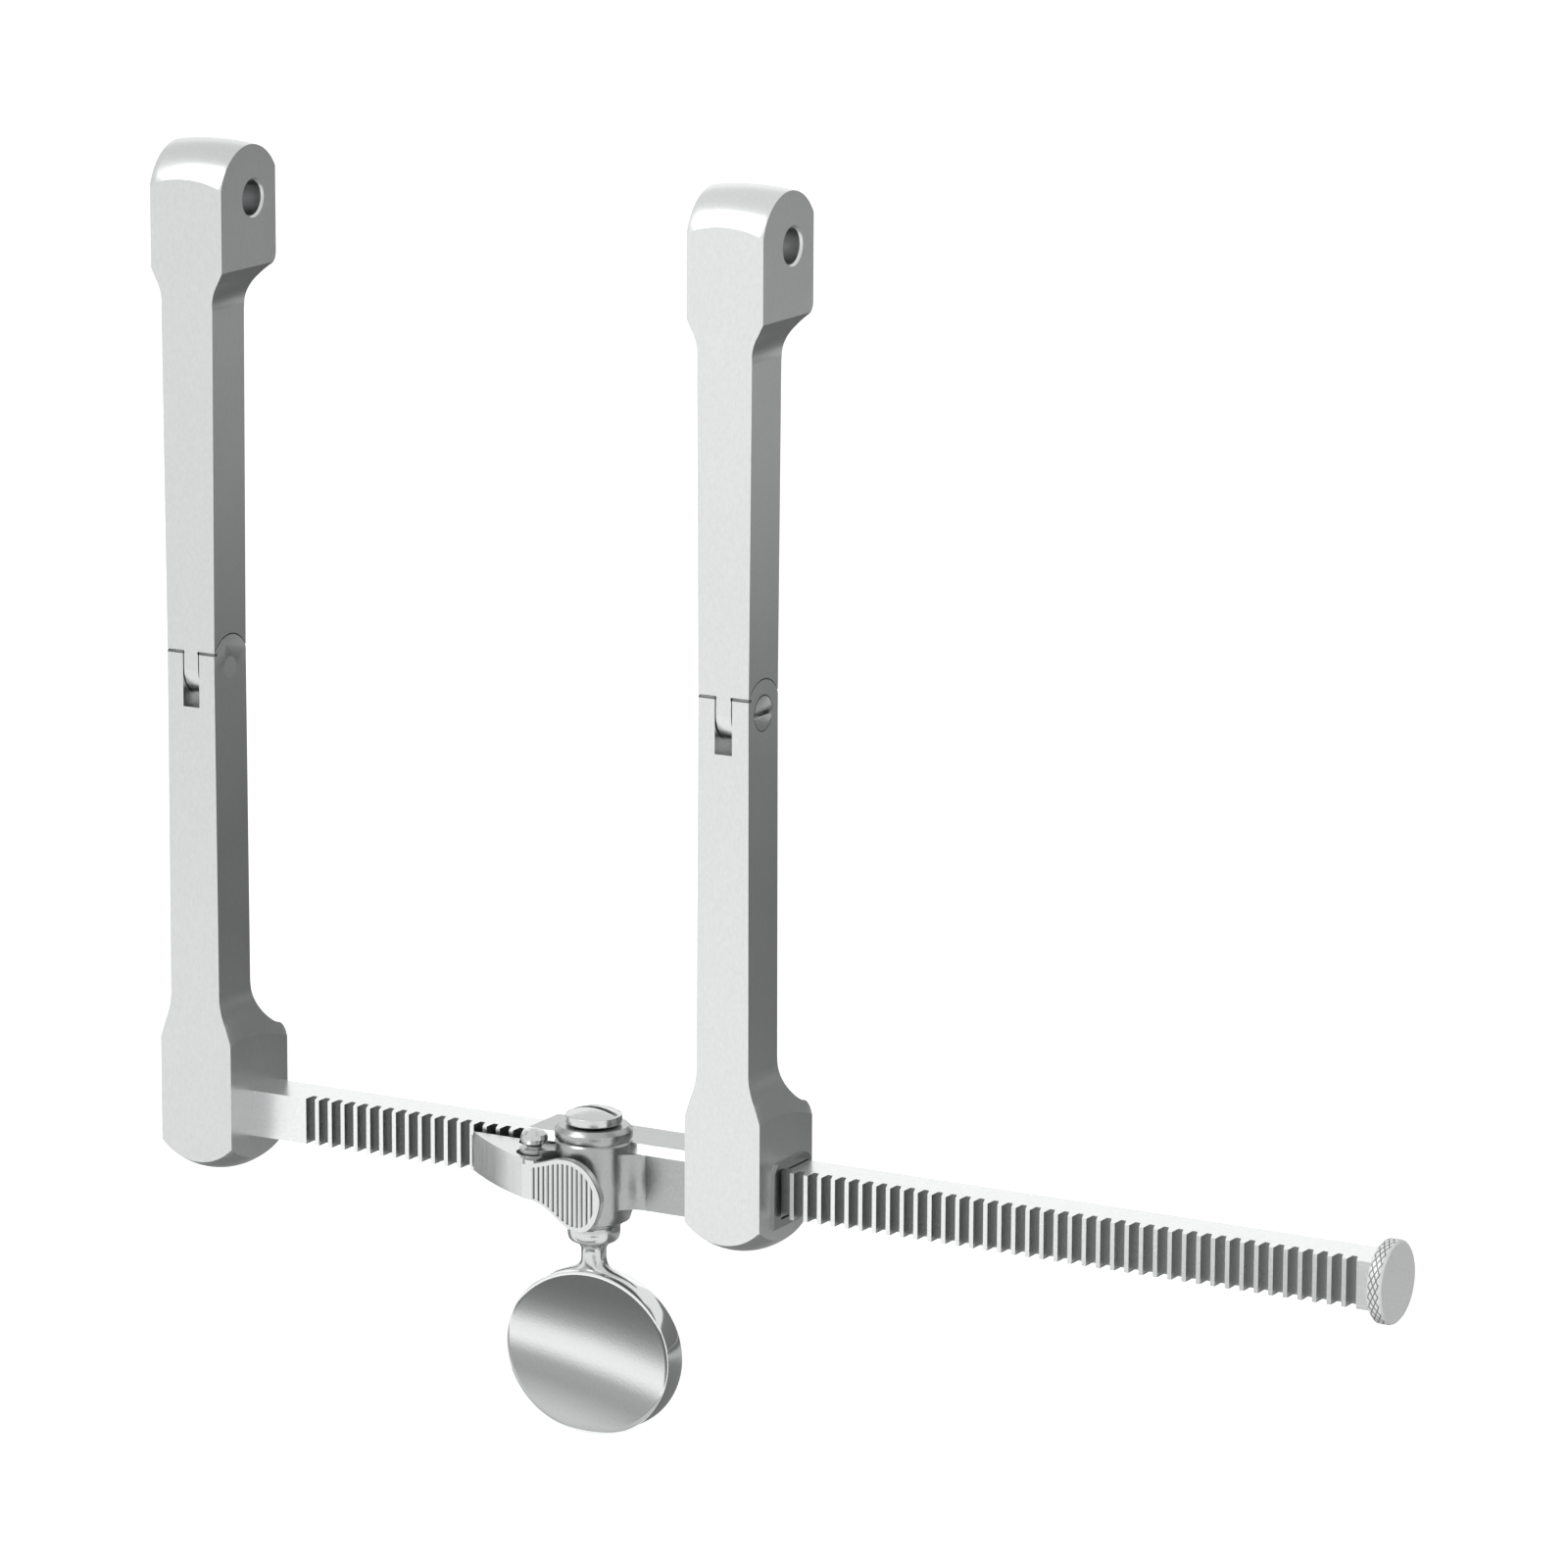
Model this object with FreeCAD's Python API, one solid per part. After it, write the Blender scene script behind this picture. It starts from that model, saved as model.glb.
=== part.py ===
import FreeCAD, Part
import math
import os

V = FreeCAD.Vector

# All sizes are millimetres. While modelling, X runs along the rack from the centre of the
# fixed arm, Y = 0 is the flat front of the arms and Z = 0 is the middle of the rack.
# save() moves every piece so that the origin is under the middle of the whole retractor.

# Rack bar and its ratchet teeth
rack_h = 6.2
rack_front = 5.28
rack_back = 12.14
rack_end = 169.2
rack_tenon = 3.0
tooth_pitch = 2.0
tooth_crest = 0.6
groove_depth = 1.8
groove_slant = 0.7
first_groove = 13.9
rack_plain_end = 0.7

# Arms
arm_spacing = 80.3
block_w = 11.0
shank_w = 7.3
neck_w = 7.9
shank_d = 7.6
upper_block_d = 13.0
lower_block_d = 13.9
upper_block_z = 113.6
lower_block_z = 10.6
flare_arch_r = 27.6  # the flare above the lower block runs over the side faces in this arch
flare_arch_y = 3.9  # its highest place
socket_y = 7.6
socket_up = 9.0  # socket above the foot of the upper block
socket_r = 2.3
socket_chamfer = 0.3
upper_dome_edge_r = 7.1
upper_dome_mid_r = 7.5
lower_dome_z = 5.0
lower_dome_edge_r = 11.2
lower_dome_mid_r = 13.2
past_end = 12.0  # blanks run this far past the ends that the domes and hinges shape

# Snap rings that hold a blade stud in its socket
ring_depth = 0.5
ring_w = 0.8
ring_gap = 1.0

# Hinges between lower and upper arms
fixed_hinge_z = 60.8
sliding_hinge_z = 63.3
hinge_pin_r = 1.45
ear_proud = 0.55  # the ears are this much higher than half the shank's depth
ear_soft_r = 1.0
fork_w = 2.5
fork_room = 1.3  # fork floor below the round end of the tongue
hinge_head_rim = 1.0
hinge_head_t = 1.0
hinge_slot_w = 0.6
hinge_slot_deep = 0.5

# Sliding sleeve and the barrel that carries the pinion
sleeve_past_barrel = 10.4
sleeve_front_wall = 1.86
sleeve_back_wall = 0.84
sleeve_wall = 1.05
sleeve_proud = 0.35  # the sleeve's end stands out of the sliding arm
sleeve_chamfer_y = 1.0
sleeve_chamfer_z = 1.15
sleeve_back_r = 1.6
barrel_before_arm = 21.0  # pinion axis to the middle of the sliding arm, in whole pitches
barrel_r = 5.07
barrel_below = 2.53
barrel_above = 2.03
bead_h = 1.9
boss_rim_r = 3.8
bore_past_rack = 0.5
blend_r = 3.46

# Pinion, thumb key and cap screw
pinion_depth = 1.9  # pinion axis to the crests of the rack
pinion_teeth = 8
pinion_core_r = 1.6
pinion_tip_r = 3.1
pinion_past_rack = 0.3
journal_r = 3.2
top_journal_r = 2.0
key_spigot_r = 1.8
key_spigot_l = 2.65
collar_r = 3.45
collar_h = 3.65
collar_taper = 1.6
neck_r = 2.05
neck_h = 3.4
neck_foot = 3.0
web_t = 2.4
web_reach = 3.6
paddle_half_w = 12.3
paddle_half_h = 11.0
paddle_side_r = 10.2
paddle_t = 3.8
paddle_edge = 0.6
dish_depth = 0.8
dish_rim = 0.9
neck_in_paddle = 0.8
cap_r = 3.68
cap_side_h = 1.2
cap_dome = 0.9
cap_slot_w = 0.9
cap_slot_deep = 0.8
cap_shank_r = 1.0
cap_shank_l = 4.5

# Pawl, its pivot screw and its spring
pivot_from_barrel = 6.8
pivot_forward = 3.68
eye_r = 2.0
pawl_pin_r = 1.0
nose_reach = 12.55  # to the nearest groove
nose_top = 2.5
nose_bottom = -2.75
nose_relief = 0.98  # plain back of the nose to the crests
nose_in_groove = 0.05
nose_tip_t = 0.53  # nose front at its tip to the crests
tooth_top = 1.9
tooth_bottom = -2.4
pad_forward = 4.0
pad_t = 1.2
lug_r = 1.9
lug_web = 3.2
upper_lug = (1.9, 3.1)
lower_lug = (-2.6, -1.7)
ball_r = 1.83
ball_half_h = 1.3
ball_steps = 6
serration_pitch = 0.72
serration_count = 13
serration_deep = 0.26
spring_from_pivot = 7.7
spring_z = -1.2
spring_pocket_r = 1.25
spring_pocket_deep = 1.1
pad_pocket_deep = 0.35
coil_r = 0.95
wire_r = 0.16
wire_sides = 5
coil_turns = 3.5

# Dowels and end knob
rack_dowel_r = 1.2
sleeve_dowel_r = 1.0
dowel_low = -7.7
knob_r = 5.4
knob_t = 2.05
knob_soft = 0.4
stud_r = 1.6
stud_l = 8.0

# Clearances
run_gap = 0.06  # radial, turning shafts
rack_gap = 0.12  # sleeve around the rack
journal_gap = 0.08  # pinion journal in its bore
face_gap = 0.15  # between faces that slide or turn past each other
lug_gap = 0.1  # pawl eye between the lugs
pawl_swing_gap = 0.45  # pawl notches around the lugs
nose_lift = 0.15  # nose clear of the crests at rest

# Derived places
rack_mid_y = (rack_front + rack_back) / 2
groove_count = int((rack_end - rack_plain_end - first_groove) / tooth_pitch)
first_crest = first_groove + tooth_pitch - tooth_crest
barrel_pitches = round((arm_spacing - barrel_before_arm - first_crest) / tooth_pitch)
barrel_x = first_crest + barrel_pitches * tooth_pitch
barrel_y = rack_front - pinion_depth
hinge_y = shank_d / 2
ear_r = hinge_y + ear_proud
shoulder_r = ear_r + face_gap
fork_floor = hinge_y + fork_room
hinge_head_r = hinge_pin_r + hinge_head_rim
socket_z = upper_block_z + socket_up
sleeve_left = barrel_x - sleeve_past_barrel
sleeve_right = arm_spacing + block_w / 2 + sleeve_proud
sleeve_front = rack_front - rack_gap - sleeve_front_wall
sleeve_back = rack_back + rack_gap + sleeve_back_wall
sleeve_h = rack_h + 2 * (rack_gap + sleeve_wall)
barrel_bottom = -sleeve_h / 2 - barrel_below
barrel_top = sleeve_h / 2 + barrel_above
bead_z = barrel_top - bead_h
bore_top = rack_h / 2 + bore_past_rack
bore_r = journal_r + journal_gap
pinion_half_h = rack_h / 2 + pinion_past_rack
key_top = barrel_bottom - face_gap
collar_bottom = key_top - collar_h
neck_bottom = collar_bottom - neck_h
paddle_mid_z = neck_bottom + neck_in_paddle - paddle_half_h
cap_low = barrel_top + face_gap
cap_side_top = cap_low + cap_side_h
pivot_x = barrel_x - pivot_from_barrel
nose_groove = round((pivot_x - nose_reach - first_groove) / tooth_pitch)
nose_tip_x = first_groove + nose_groove * tooth_pitch + nose_in_groove
pivot_y = barrel_y - pivot_forward
pad_front = pivot_y - pad_forward
nose_back = rack_front - nose_relief
spring_x = pivot_x + spring_from_pivot
spring_pocket_end = barrel_y - barrel_r + spring_pocket_deep
knob_in = rack_end + face_gap
knob_out = knob_in + knob_t
paddle_low = paddle_mid_z - paddle_half_h
knob_back = rack_mid_y + knob_r
origin = V((block_w / 2 - knob_out) / 2, -(pad_front + knob_back) / 2, -paddle_low)


def save(name, shape):
    placed = shape.copy()
    placed.translate(origin)
    placed.exportStep("parts/" + name + ".step")


def prism(points, direction, curves=()):
    """Straight edges through points; curves maps an edge number to the point its arc passes."""
    arcs = dict(curves)
    edges = []
    for i in range(len(points)):
        a = V(*points[i])
        b = V(*points[(i + 1) % len(points)])
        if i in arcs:
            edges.append(Part.Arc(a, V(*arcs[i]), b).toShape())
        else:
            edges.append(Part.makeLine(a, b))
    return Part.Face(Part.Wire(edges)).extrude(V(*direction))


def rod_x(r, x0, x1, y, z):
    return Part.makeCylinder(r, x1 - x0, V(x0, y, z), V(1, 0, 0))


def rod_z(r, z0, z1, x, y):
    return Part.makeCylinder(r, z1 - z0, V(x, y, z0), V(0, 0, 1))


def cuboid(x0, x1, y0, y1, z0, z1):
    return Part.makeBox(x1 - x0, y1 - y0, z1 - z0, V(x0, y0, z0))


def turned(points, x, y, curves=()):
    """Revolve a radius, height outline about the upright line through x, y."""
    arcs = dict((i, (x + c[0], y, c[1])) for i, c in dict(curves).items())
    flat = [(x + r, y, z) for r, z in points]
    edges = []
    for i in range(len(flat)):
        a = V(*flat[i])
        b = V(*flat[(i + 1) % len(flat)])
        if i in arcs:
            edges.append(Part.Arc(a, V(*arcs[i]), b).toShape())
        else:
            edges.append(Part.makeLine(a, b))
    face = Part.Face(Part.Wire(edges))
    return face.revolve(V(x, y, 0), V(0, 0, 1), 360)


def crowned_roller(edge_r, mid_r, y, z):
    """A barrel lying along X, thicker in its middle: it shapes the domed ends of the arms."""
    half = block_w / 2
    a = V(-half, y, z + edge_r)
    b = V(0, y, z + mid_r)
    c = V(half, y, z + edge_r)
    edges = [Part.Arc(a, b, c).toShape()]
    edges.append(Part.makeLine(c, V(half, y, z)))
    edges.append(Part.makeLine(V(half, y, z), V(-half, y, z)))
    edges.append(Part.makeLine(V(-half, y, z), a))
    face = Part.Face(Part.Wire(edges))
    return face.revolve(V(0, y, z), V(1, 0, 0), 360)


def mirrored_outline(right_side, arcs):
    """A closed outline in XZ from its right side, listed upwards, and its mirror image."""
    n = len(right_side)
    points = [(x, 0, z) for x, z in right_side]
    points += [(-x, 0, z) for x, z in reversed(right_side)]
    curves = {}
    for i, (x, z) in arcs.items():
        curves[i] = (x, 0, z)
        curves[2 * n - 2 - i] = (-x, 0, z)
    return points, curves


def upper_arm(hinge_z):
    half = block_w / 2
    z = upper_block_z
    low = hinge_z
    high = z + past_end * 2
    side = [(shank_w / 2, low), (neck_w / 2, z - 5.0), (half - 0.7, z - 1.4), (half, z), (half, high)]
    points, curves = mirrored_outline(side, {1: (neck_w / 2 + 0.15, z - 3.0)})
    front_view = prism(points, (0, upper_block_d, 0), curves)
    d = upper_block_d
    outline = [(-half, 0, low), (-half, shank_d, low), (-half, shank_d, z - 6.1)]
    outline += [(-half, d - 2.4, z - 0.9), (-half, d - 1.4, z - 0.4), (-half, d, z + 1.4)]
    outline += [(-half, d, high), (-half, 0, high)]
    bends = {2: (-half, shank_d + 0.75, z - 3.1), 4: (-half, d - 0.4, z + 0.2)}
    side_view = prism(outline, (block_w, 0, 0), bends)
    roller = crowned_roller(upper_dome_edge_r, upper_dome_mid_r, d / 2 + 0.4, socket_z)
    under = cuboid(-half, half, 0, d, low, socket_z)
    arm = front_view.common(side_view).common(roller.fuse(under))
    arm = arm.cut(rod_x(shoulder_r, -half, half, hinge_y, hinge_z))
    arm = arm.fuse(tongue(hinge_z))
    arm = arm.cut(rod_x(hinge_pin_r + run_gap, -half, half, hinge_y, hinge_z))
    arm = arm.cut(socket_cutter())
    return arm.removeSplitter()


def tongue(hinge_z):
    half = fork_w / 2 - face_gap
    round_end = rod_x(hinge_y, -half, half, hinge_y, hinge_z)
    stem = cuboid(-half, half, 0, shank_d, hinge_z, hinge_z + shoulder_r + 1)
    return round_end.fuse(stem)


def socket_cutter():
    half = block_w / 2
    bore = rod_x(socket_r, -half, half, socket_y, socket_z)
    groove = rod_x(socket_r + ring_depth, -ring_w / 2, ring_w / 2, socket_y, socket_z)
    wide = socket_r + socket_chamfer
    c = socket_chamfer
    mouth = Part.makeCone(socket_r, wide, c, V(half - c, socket_y, socket_z), V(1, 0, 0))
    back = Part.makeCone(wide, socket_r, c, V(-half, socket_y, socket_z), V(1, 0, 0))
    return bore.fuse([groove, mouth, back])


def socket_ring():
    outer = rod_x(socket_r + ring_depth, -ring_w / 2, ring_w / 2, socket_y, socket_z)
    inner = rod_x(socket_r, -ring_w, ring_w, socket_y, socket_z)
    reach = socket_r + ring_depth * 2
    split = cuboid(-ring_w, ring_w, socket_y, socket_y + reach, socket_z, socket_z + ring_gap)
    return outer.cut(inner).cut(split)


def lower_arm(hinge_z):
    half = block_w / 2
    z = lower_block_z
    low = -past_end
    high = hinge_z + past_end
    d = lower_block_d
    side = [(half, low), (half, z), (half - 0.8, z + 2.4), (shank_w / 2 + 0.15, z + 6.0)]
    side += [(shank_w / 2, hinge_z), (shank_w / 2, high)]
    points, curves = mirrored_outline(side, {2: (shank_w / 2 + 0.4, z + 4.3)})
    front_view = arched(points, curves, z).fuse(cuboid(-half, half, 0, d, low, z - 2.5))
    outline = [(-half, 0, low), (-half, d, low), (-half, d, z - 1.6), (-half, d - 1.6, z + 0.3)]
    outline += [(-half, shank_d, z + 7.0), (-half, shank_d, high), (-half, 0, high)]
    bends = {2: (-half, d - 0.4, z - 0.25), 3: (-half, shank_d + 1.4, z + 2.95)}
    side_view = prism(outline, (block_w, 0, 0), bends)
    roller = crowned_roller(lower_dome_edge_r, lower_dome_mid_r, d / 2, lower_dome_z)
    above = cuboid(-half, half, 0, d, lower_dome_z, high)
    arm = front_view.common(side_view).common(roller.fuse(above))
    below_pin = cuboid(-half, half, 0, d, low, hinge_z)
    arm = arm.common(rod_x(ear_r, -half, half, hinge_y, hinge_z).fuse(below_pin))
    arm = arm.removeSplitter()
    arm = arm.makeFillet(ear_soft_r, ear_corner_edges(arm, hinge_z))
    fork = cuboid(-fork_w / 2, fork_w / 2, -1, d, hinge_z - fork_floor, high)
    arm = arm.cut(fork)
    arm = arm.cut(rod_x(hinge_pin_r, -half, half, hinge_y, hinge_z))
    return arm


def arched(points, curves, z):
    """The front view of a lower arm, swung about an axis along X so that its flare arches."""
    centre = V(0, flare_arch_y, z - flare_arch_r)
    moved = [(x, flare_arch_y, h) for x, y, h in points]
    bends = dict((i, (c[0], flare_arch_y, c[2])) for i, c in curves.items())
    face = prism(moved, (0, 1, 0), bends).Faces
    outline = [f for f in face if f.BoundBox.YMax < flare_arch_y + 0.5][0]
    outline.rotate(centre, V(1, 0, 0), -35)
    return outline.revolve(centre, V(1, 0, 0), 70)


def ear_corner_edges(arm, hinge_z):
    corner_z = hinge_z + math.sqrt(ear_r ** 2 - hinge_y ** 2)
    found = []
    for edge in arm.Edges:
        box = edge.BoundBox
        flat = box.ZLength < 0.01 and box.YLength < 0.01
        if flat and abs(box.ZMin - corner_z) < 0.05:
            found.append(edge)
    return found


def hinge_rivet(hinge_z):
    half = shank_w / 2
    return rod_x(hinge_pin_r, -half, half, hinge_y, hinge_z)


def hinge_screw(hinge_z):
    half = shank_w / 2
    shank = rod_x(hinge_pin_r, -half, half - hinge_head_t, hinge_y, hinge_z)
    head = hinge_head(hinge_z)
    low = hinge_z - hinge_slot_w / 2
    start = hinge_y - hinge_head_r
    end = hinge_y + hinge_head_r
    slot = cuboid(half - hinge_slot_deep, half, start, end, low, low + hinge_slot_w)
    return shank.fuse(head).removeSplitter().cut(slot)


def hinge_head(hinge_z):
    half = shank_w / 2
    return rod_x(hinge_head_r, half - hinge_head_t, half, hinge_y, hinge_z)


def rack_bar():
    top = rack_h / 2
    front = rack_front
    points = [(-rack_tenon, rack_back, -top), (-rack_tenon, front, -top)]
    for i in range(groove_count):
        x = first_groove + i * tooth_pitch
        wide = tooth_pitch - tooth_crest
        points.append((x, front, -top))
        points.append((x, front + groove_depth, -top))
        points.append((x + wide - groove_slant, front + groove_depth, -top))
        points.append((x + wide, front, -top))
    points += [(rack_end, front, -top), (rack_end, rack_back, -top)]
    bar = prism(points, (0, 0, rack_h))
    bar = bar.cut(rod_x(stud_r, rack_end - stud_l, rack_end, rack_mid_y, 0))
    return bar.cut(rack_dowel())


def rack_dowel():
    return rod_z(rack_dowel_r, dowel_low, 0.5, 0.5, rack_mid_y)


def sleeve_dowel():
    return rod_z(sleeve_dowel_r, dowel_low, -rack_h / 2 - rack_gap * 2, arm_spacing, rack_mid_y)


def fixed_lower():
    pocket = cuboid(-rack_tenon, block_w / 2, rack_front, rack_back, -rack_h / 2, rack_h / 2)
    return lower_arm(fixed_hinge_z).cut(pocket).cut(rack_dowel())


def sliding_lower():
    arm = lower_arm(sliding_hinge_z).cut(hinge_head(sliding_hinge_z))
    arm.translate(V(arm_spacing, 0, 0))
    arm = arm.cut(sleeve_bar(arm_spacing - block_w))
    return arm.cut(sleeve_dowel())


def sleeve_bar(start):
    top = sleeve_h / 2
    front = sleeve_front
    back = sleeve_back
    r = sleeve_back_r
    soft = r * (1 - math.sqrt(0.5))
    points = [(start, front, -top), (start, front, top - sleeve_chamfer_z)]
    points += [(start, front + sleeve_chamfer_y, top), (start, back - r, top)]
    points += [(start, back, top - r), (start, back, -top + r), (start, back - r, -top)]
    bends = {3: (start, back - soft, top - soft), 5: (start, back - soft, -top + soft)}
    return prism(points, (sleeve_right - start, 0, 0), bends)


def barrel():
    r = barrel_r
    low = barrel_bottom
    rim = boss_rim_r
    top = barrel_top
    points = [(0, low), (rim, low), (rim, low + 0.1), (r - 0.35, low + 0.6), (r, low + 1.7)]
    points += [(r, bead_z - 0.25), (r - 0.25, bead_z), (r, bead_z + 0.35), (r, top - 0.6)]
    points += [(r - 0.5, top), (0, top)]
    return turned(points, barrel_x, barrel_y)


def front_blend():
    """The hollow curve from the barrel to the flat front of the sleeve, on the arm side."""
    cy = sleeve_front - blend_r
    dy = cy - barrel_y
    cx = barrel_x + math.sqrt((barrel_r + blend_r) ** 2 - dy ** 2)
    share = barrel_r / (barrel_r + blend_r)
    tx = barrel_x + (cx - barrel_x) * share
    ty = barrel_y + dy * share
    angle = (math.pi / 2 + math.atan2(ty - cy, tx - cx)) / 2
    low = -sleeve_h / 2
    mx = cx + blend_r * math.cos(angle)
    my = cy + blend_r * math.sin(angle)
    points = [(cx, sleeve_front, low), (tx, ty, low), (barrel_x, barrel_y, low)]
    points += [(barrel_x, barrel_y + 1.5, low), (cx, sleeve_front + 1.5, low)]
    tall = sleeve_h - sleeve_chamfer_z
    return prism(points, (0, 0, tall), {0: (mx, my, low)})


def lug(low, high):
    """An ear on the barrel that carries the pawl screw."""
    ear = rod_z(lug_r, low, high, pivot_x, pivot_y)
    return ear.fuse(bar_to_barrel(lug_web / 2, low, high))


def bar_to_barrel(half, low, high):
    dx = barrel_x - pivot_x
    dy = barrel_y - pivot_y
    length = math.hypot(dx, dy)
    bar = cuboid(0, length, -half, half, low, high)
    bar.rotate(V(0, 0, 0), V(0, 0, 1), math.degrees(math.atan2(dy, dx)))
    bar.translate(V(pivot_x, pivot_y, 0))
    return bar


def spring_pocket():
    length = spring_pocket_end - pad_front
    place = V(spring_x, spring_pocket_end - length, spring_z)
    return Part.makeCylinder(spring_pocket_r, length, place, V(0, 1, 0))


def rack_sleeve():
    body = sleeve_bar(sleeve_left).fuse([barrel(), front_blend(), lug(*upper_lug), lug(*lower_lug)])
    body = body.removeSplitter()
    half = rack_h / 2 + rack_gap
    front = rack_front - rack_gap
    channel = cuboid(sleeve_left - 5, sleeve_right + 1, front, rack_back + rack_gap, -half, half)
    body = body.cut(channel)
    body = body.cut(rod_z(bore_r, barrel_bottom, bore_top, barrel_x, barrel_y))
    body = body.cut(rod_z(top_journal_r + run_gap, bore_top, barrel_top, barrel_x, barrel_y))
    body = body.cut(rod_z(pawl_pin_r, lower_lug[0], upper_lug[1], pivot_x, pivot_y))
    body = body.cut(spring_pocket())
    return body.cut(sleeve_dowel())


def pinion_gear():
    """Eight ratchet shaped teeth that pass between the teeth of the rack without touching."""
    step = 360.0 / pinion_teeth
    root = pinion_core_r - 0.1
    tip = pinion_tip_r
    tooth = [(root, 8.0), (tip - 0.65, 8.0), (tip - 0.3, 11.0), (tip, 15.0)]
    tooth += [(tip, 24.0), (tip - 0.3, 26.5), (tip - 0.7, 23.5), (root, 23.0)]
    points = []
    for i in range(pinion_teeth):
        for r, angle in tooth:
            turn = math.radians(angle + i * step)
            x = barrel_x + r * math.cos(turn)
            y = barrel_y + r * math.sin(turn)
            points.append((x, y, -pinion_half_h))
    return prism(points, (0, 0, 2 * pinion_half_h))


def pinion_shaft():
    shaft = rod_z(pinion_core_r, -pinion_half_h, pinion_half_h, barrel_x, barrel_y)
    top = rod_z(top_journal_r, pinion_half_h, barrel_top, barrel_x, barrel_y)
    low = rod_z(journal_r, key_top, -pinion_half_h, barrel_x, barrel_y)
    shaft = shaft.fuse([pinion_gear(), top, low, key_spigot()]).removeSplitter()
    return shaft.cut(cap_shank())


def key_spigot():
    return rod_z(key_spigot_r, key_top - key_spigot_l, key_top, barrel_x, barrel_y)


def cap_shank():
    return rod_z(cap_shank_r, cap_low - cap_shank_l, cap_low, barrel_x, barrel_y)


def cap_screw():
    low = cap_low
    side = cap_side_top
    r = cap_r
    points = [(0, low), (r - 0.2, low), (r, low + 0.2), (r, side)]
    points += [(r * 0.82, side + cap_dome * 0.4), (r * 0.5, side + cap_dome * 0.8)]
    points += [(r * 0.2, side + cap_dome), (0, side + cap_dome)]
    head = turned(points, barrel_x, barrel_y)
    half = cap_slot_w / 2
    top = cap_side_top + cap_dome
    floor = top - cap_slot_deep
    slot = cuboid(barrel_x - r, barrel_x + r, barrel_y - half, barrel_y + half, floor, top + 1)
    return head.cut(slot).fuse(cap_shank())


def thumb_key():
    r = collar_r
    n = neck_r
    low = collar_bottom
    foot = neck_bottom - neck_foot
    points = [(0, key_top), (r, key_top), (r, low + collar_taper), (r - 0.25, low + collar_taper * 0.4)]
    points += [(n, low), (n, neck_bottom), (n * 0.85, foot + 1.0), (n * 0.5, foot), (0, foot)]
    key = turned(points, barrel_x, barrel_y).fuse([key_web(), paddle()]).removeSplitter()
    return key.cut(key_spigot())


def oval_arcs():
    """The large arc above and below the oval, and where it meets the arcs at its sides."""
    a = paddle_half_w
    b = paddle_half_h
    r = paddle_side_r
    big = ((a - r) ** 2 + b ** 2 - r ** 2) / (2 * (b - r))
    return big, (a - r) * big / (big - r), (big - b) * r / (big - r)


def key_web():
    """The flat web whose hollow sides lead from the neck onto the top of the paddle."""
    big = oval_arcs()[0]
    edge = paddle_mid_z + paddle_half_h - big + math.sqrt(big ** 2 - web_reach ** 2) - 0.05
    wide = web_reach - neck_r
    low = paddle_mid_z + paddle_half_h * 0.76
    side = [(web_reach, low), (web_reach, edge), (neck_r - 0.1, edge + wide)]
    points, curves = mirrored_outline(side, {1: (neck_r + wide * 0.3, edge + wide * 0.3)})
    web = prism(points, (0, web_t, 0), curves)
    web.translate(V(barrel_x, barrel_y - web_t / 2, 0))
    return web


def paddle():
    """An oval of four arcs, broken at its edges and dished on both faces."""
    a = paddle_half_w
    b = paddle_half_h
    x, z = oval_arcs()[1:]
    points = [(x, 0, -z), (x, 0, z), (-x, 0, z), (-x, 0, -z)]
    disc = prism(points, (0, paddle_t, 0), {0: (a, 0, 0), 1: (0, 0, b), 2: (-a, 0, 0), 3: (0, 0, -b)})
    disc = disc.makeChamfer(paddle_edge, rim_edges(disc))
    rim = b - dish_rim
    deep = -dish_depth
    hollow = [(0, deep), (rim * 0.3, deep), (rim * 0.65, deep * 0.6), (rim, 0), (rim, 1), (0, 1)]
    for angle, y in ((90, 0), (-90, paddle_t)):
        dish = turned(hollow, 0, 0)
        dish.rotate(V(0, 0, 0), V(1, 0, 0), angle)
        dish.translate(V(0, y, 0))
        disc = disc.cut(dish)
    disc.translate(V(barrel_x, barrel_y - paddle_t / 2, paddle_mid_z))
    return disc


def rim_edges(disc):
    return [edge for edge in disc.Edges if edge.BoundBox.YLength < 0.01]


def pad_outline():
    """The thumb pad's outline as seen from the front, measured from the pivot."""
    return [
        (0.5, 1.9), (3.5, 2.5), (6.3, 3.2), (8.1, 3.1), (9.9, 2.2), (11.4, 0.4), (12.1, -1.4), (11.9, -3.0),
        (11.4, -4.4), (10.1, -5.8), (8.5, -6.1), (6.9, -5.6), (4.8, -4.1), (2.7, -3.0), (0.5, -2.7),
    ]


def pad_plate(shrink, front, thick):
    mid_x = 6.5
    mid_z = -1.4
    spots = []
    for x, z in pad_outline():
        along = pivot_x + mid_x + (x - mid_x) * shrink
        spots.append(V(along, front, mid_z + (z - mid_z) * shrink))
    curve = Part.BSplineCurve()
    curve.interpolate(spots)
    edges = [curve.toShape(), Part.makeLine(spots[-1], spots[0])]
    return Part.Face(Part.Wire(edges)).extrude(V(0, thick, 0))


def serrations():
    """Upright grooves in the thumb pad, kept inside a plain rim."""
    cutters = []
    for i in range(serration_count):
        x = pivot_x + 2.2 + i * serration_pitch
        half = serration_pitch * 0.36
        front = pad_front - 0.01
        points = [(x - half, front, -8), (x + half, front, -8), (x, pad_front + serration_deep, -8)]
        cutters.append(prism(points, (0, 0, 14)))
    field = pad_plate(0.88, pad_front - 1, 2)
    return [cutter.common(field) for cutter in cutters]


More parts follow.
